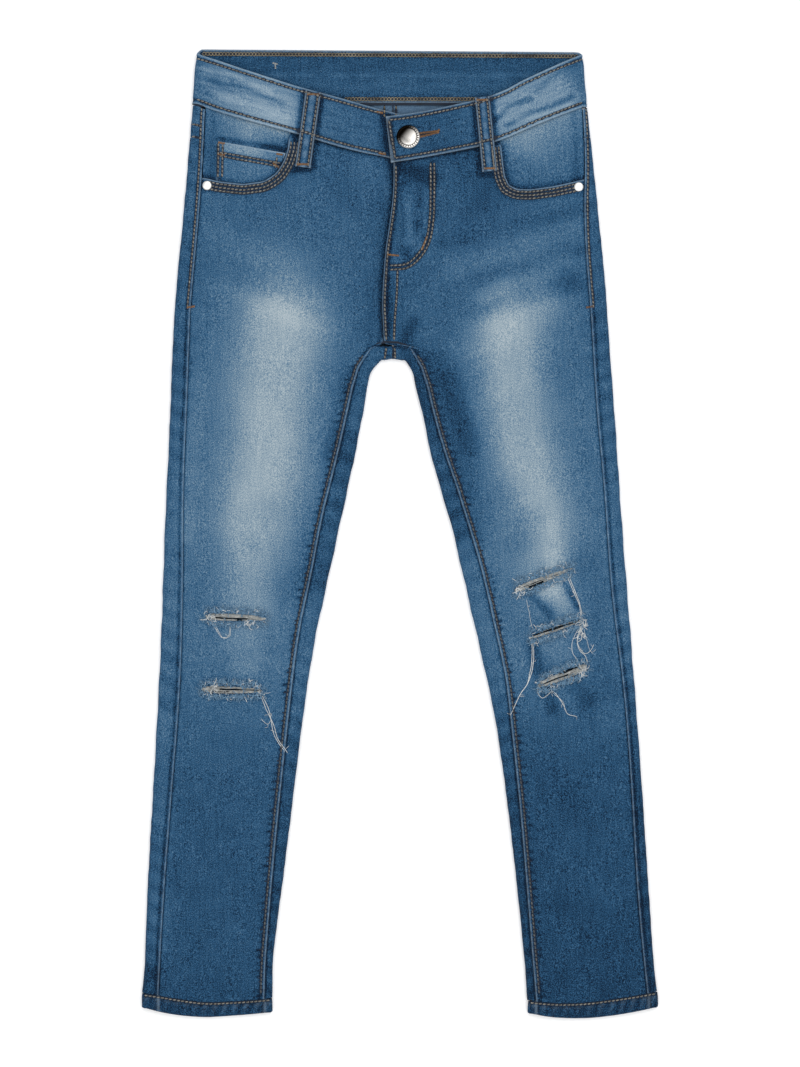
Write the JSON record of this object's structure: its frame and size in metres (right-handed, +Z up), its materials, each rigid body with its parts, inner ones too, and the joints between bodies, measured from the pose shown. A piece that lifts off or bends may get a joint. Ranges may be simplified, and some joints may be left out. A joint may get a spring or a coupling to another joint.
{
  "type": "ripped jeans",
  "caption": "Child's slim jeans laid flat with the front up: contoured waistband, scooped pockets, lapped fly, worn thighs and ripped knees.",
  "frame": {"origin": "on the surface that the jeans lie on, under the middle of the garment's outline", "axes": "+X towards the wearer's left, +Y from the hems to the waist, +Z up, out of the front of the garment"},
  "size_m": [0.3712, 0.697, 0.0105],
  "materials": {
    "denim": "stonewashed mid-blue stretch denim, faded at the thighs",
    "thread": "tan and dark brown topstitching thread",
    "thread_bright": "orange bar tacks and buttonhole thread",
    "weft": "loose off-white weft threads and frayed edges",
    "metal": "nickel-plated button and rivets, satin"
  },
  "bodies": {
    "root": {"front_right": "denim", "front_left": "denim", "back_right": "denim", "back_left": "denim", "yoke_right": "denim", "yoke_left": "denim", "waistband": "denim", "pocket_facing_right": "denim", "pocket_facing_left": "denim", "coin_pocket": "denim", "fly_facing": "denim", "hem_right": "denim", "hem_left": "denim", "belt_loop_right": "denim", "belt_loop_left": "denim", "button": "metal", "rivet_right": "metal", "rivet_left": "metal"}
  },
  "joints": []
}
